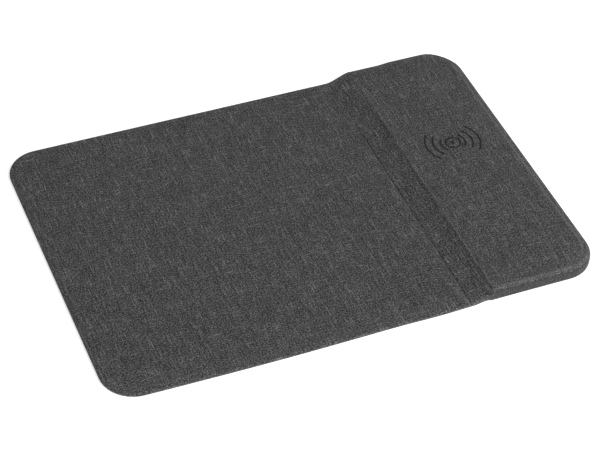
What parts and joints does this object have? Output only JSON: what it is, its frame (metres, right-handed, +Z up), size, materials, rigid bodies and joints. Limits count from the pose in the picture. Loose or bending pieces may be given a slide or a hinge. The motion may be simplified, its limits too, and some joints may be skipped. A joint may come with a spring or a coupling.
{
  "type": "wireless charging desk mat",
  "caption": "Thin fabric-covered desk mat that joins, along a pressed crease, a ramp and a raised wireless charger case, which folds up about the crease.",
  "frame": {"origin": "middle of the underside, where the flat mat rests on the desk", "axes": "+X along the width towards the charger end, +Y towards the back edge with the power socket, +Z up out of the fabric top"},
  "size_m": [0.3, 0.2106, 0.009],
  "materials": {
    "heather_fabric": "matte linen-look weave, heathered dark grey",
    "foam": "matte",
    "base_rubber": "fine non-slip texture",
    "case_plastic": "moulded, matte",
    "light_plastic": "clear, diffusing",
    "board": "solder mask",
    "chip_epoxy": "moulded",
    "ceramic": "fired, matte",
    "ferrite": "sintered, matte",
    "copper_wire": "enamelled stranded wire",
    "steel": "plated"
  },
  "bodies": {
    "mat": {"mat_cover": "heather_fabric", "mat_core": "foam", "mat_base": "base_rubber"},
    "charger": {"ramp_cover": "heather_fabric", "ramp_wedge": "foam", "charger_cover": "heather_fabric", "cushion_sheet": "foam", "charger_base": "base_rubber", "upper_case": "case_plastic", "lower_case": "case_plastic", "case_screw_1": "steel", "case_screw_2": "steel", "case_screw_3": "steel", "case_screw_4": "steel", "case_screw_5": "steel", "case_screw_6": "steel", "case_screw_7": "steel", "case_screw_8": "steel", "coil_tray": "case_plastic", "ferrite_plate": "ferrite", "transmitter_coil": "copper_wire", "circuit_board": "board", "controller_chip": "chip_epoxy", "bridge_transistor_1": "chip_epoxy", "bridge_transistor_2": "chip_epoxy", "bridge_transistor_3": "chip_epoxy", "bridge_transistor_4": "chip_epoxy", "resonant_capacitor_1": "ceramic", "resonant_capacitor_2": "ceramic", "resonant_capacitor_3": "ceramic", "resonant_capacitor_4": "ceramic", "input_capacitor_1": "ceramic", "input_capacitor_2": "ceramic", "filter_inductor": "ferrite", "status_led": "light_plastic", "light_pipe": "light_plastic", "socket_shell": "steel", "socket_tongue": "case_plastic", "port_bezel": "case_plastic"}
  },
  "joints": [
    {"name": "crease_fold", "type": "hinge", "parent": "mat", "child": "charger", "pos_m": [0.0655, 0, 0.003], "axis": [0, -1, 0], "range_deg": [0, 155]}
  ]
}
